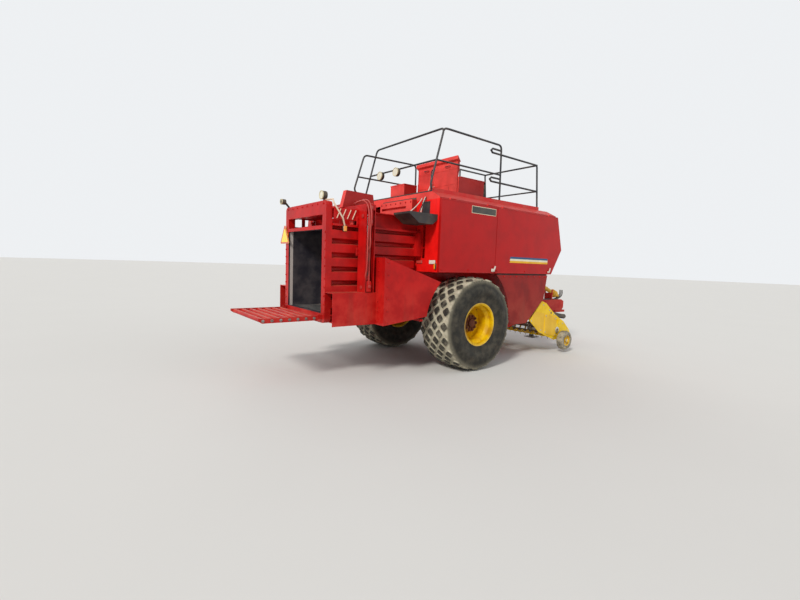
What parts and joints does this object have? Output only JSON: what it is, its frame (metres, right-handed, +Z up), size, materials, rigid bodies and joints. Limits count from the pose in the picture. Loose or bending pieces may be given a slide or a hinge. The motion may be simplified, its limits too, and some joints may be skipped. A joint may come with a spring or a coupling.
{
  "type": "large square baler",
  "caption": "Large square baler on one axle with twine boxes, side doors, railed deck, pickup, swan-necked drawbar and rear bale chute.",
  "frame": {"origin": "on the ground under the middle of the machine's length and width", "axes": "+X forward to the hitch, +Y left, +Z up"},
  "size_m": [8.3998, 2.9286, 3.998],
  "materials": {
    "red": "satin, worn and dusty",
    "yellow": "satin, dusty",
    "black_paint": "satin",
    "steel_dark": "dull",
    "steel_bright": "brushed",
    "tyre": "dull, muddy",
    "black_plastic": "matte",
    "guard_yellow": "satin",
    "sign_yellow": "satin"
  },
  "bodies": {
    "chassis": {"main_frame": "red", "axle": "red", "drawbar": "red", "jack_stand": "steel_dark", "chamber_side_right": "red", "chamber_side_left": "red", "chamber_floor": "red", "chamber_roof": "red", "gearbox": "steel_dark", "feed_duct": "red", "rear_portal": "red", "density_frame": "red", "density_cylinders": "steel_bright", "front_shell": "red", "platform_deck": "steel_dark", "handrail": "black_paint", "knotter_hood": "red", "top_boxes": "red", "roof_sheet": "red", "twine_box_right": "red", "twine_box_left": "red", "shield_right": "red", "shield_left": "red", "skirt_right": "red", "skirt_left": "red", "ladder": "steel_dark", "lamps": "black_plastic", "slow_sign": "sign_yellow", "pto_shaft": "guard_yellow"},
    "flywheel": {"flywheel": "red"},
    "door_rear_right": {"door_rear_right": "red"},
    "door_front_right": {"door_front_right": "red"},
    "door_rear_left": {"door_rear_left": "red"},
    "door_front_left": {"door_front_left": "red"},
    "wheel_right": {"tyre_right": "tyre", "rim_right": "yellow"},
    "wheel_left": {"tyre_left": "tyre", "rim_left": "yellow"},
    "pickup": {"pickup_frame": "yellow"},
    "reel": {"pickup_reel": "steel_dark"},
    "windguard": {"windguard": "steel_dark"},
    "gauge_right": {"gauge_wheel_right": "tyre"},
    "gauge_left": {"gauge_wheel_left": "tyre"},
    "chute": {"bale_chute": "red"}
  },
  "joints": [
    {"name": "wheel_right_spin", "type": "hinge", "parent": "chassis", "child": "wheel_right", "pos_m": [-0.75, -1.1075, 0.795], "axis": [0, 1, 0], "continuous": true},
    {"name": "wheel_left_spin", "type": "hinge", "parent": "chassis", "child": "wheel_left", "pos_m": [-0.75, 1.1075, 0.795], "axis": [0, 1, 0], "continuous": true},
    {"name": "flywheel_spin", "type": "hinge", "parent": "chassis", "child": "flywheel", "pos_m": [2, 0, 1.66], "axis": [1, 0, 0], "continuous": true},
    {"name": "door_rear_right_lift", "type": "hinge", "parent": "chassis", "child": "door_rear_right", "pos_m": [-0.8715, -1.198, 2.825], "axis": [-1, 0, 0], "range_deg": [0, 75]},
    {"name": "door_front_right_lift", "type": "hinge", "parent": "chassis", "child": "door_front_right", "pos_m": [0.75, -1.198, 2.825], "axis": [-1, 0, 0], "range_deg": [0, 75]},
    {"name": "door_rear_left_lift", "type": "hinge", "parent": "chassis", "child": "door_rear_left", "pos_m": [-0.8715, 1.198, 2.825], "axis": [1, 0, 0], "range_deg": [0, 75]},
    {"name": "door_front_left_lift", "type": "hinge", "parent": "chassis", "child": "door_front_left", "pos_m": [0.75, 1.198, 2.825], "axis": [1, 0, 0], "range_deg": [0, 75]},
    {"name": "pickup_lift", "type": "hinge", "parent": "chassis", "child": "pickup", "pos_m": [1.05, 0, 0.78], "axis": [0, -1, 0], "range_deg": [-3, 8]},
    {"name": "reel_spin", "type": "hinge", "parent": "pickup", "child": "reel", "pos_m": [2, 0, 0.47], "axis": [0, 1, 0], "continuous": true},
    {"name": "windguard_tilt", "type": "hinge", "parent": "pickup", "child": "windguard", "pos_m": [1.75, 0, 0.85], "axis": [0, -1, 0], "range_deg": [0, 10]},
    {"name": "gauge_right_spin", "type": "hinge", "parent": "pickup", "child": "gauge_right", "pos_m": [2.1, -1.305, 0.262], "axis": [0, 1, 0], "continuous": true},
    {"name": "gauge_left_spin", "type": "hinge", "parent": "pickup", "child": "gauge_left", "pos_m": [2.1, 1.305, 0.262], "axis": [0, 1, 0], "continuous": true},
    {"name": "chute_fold", "type": "hinge", "parent": "chassis", "child": "chute", "pos_m": [-3.32, 0, 0.96], "axis": [0, 1, 0], "range_deg": [0, 85]}
  ]
}
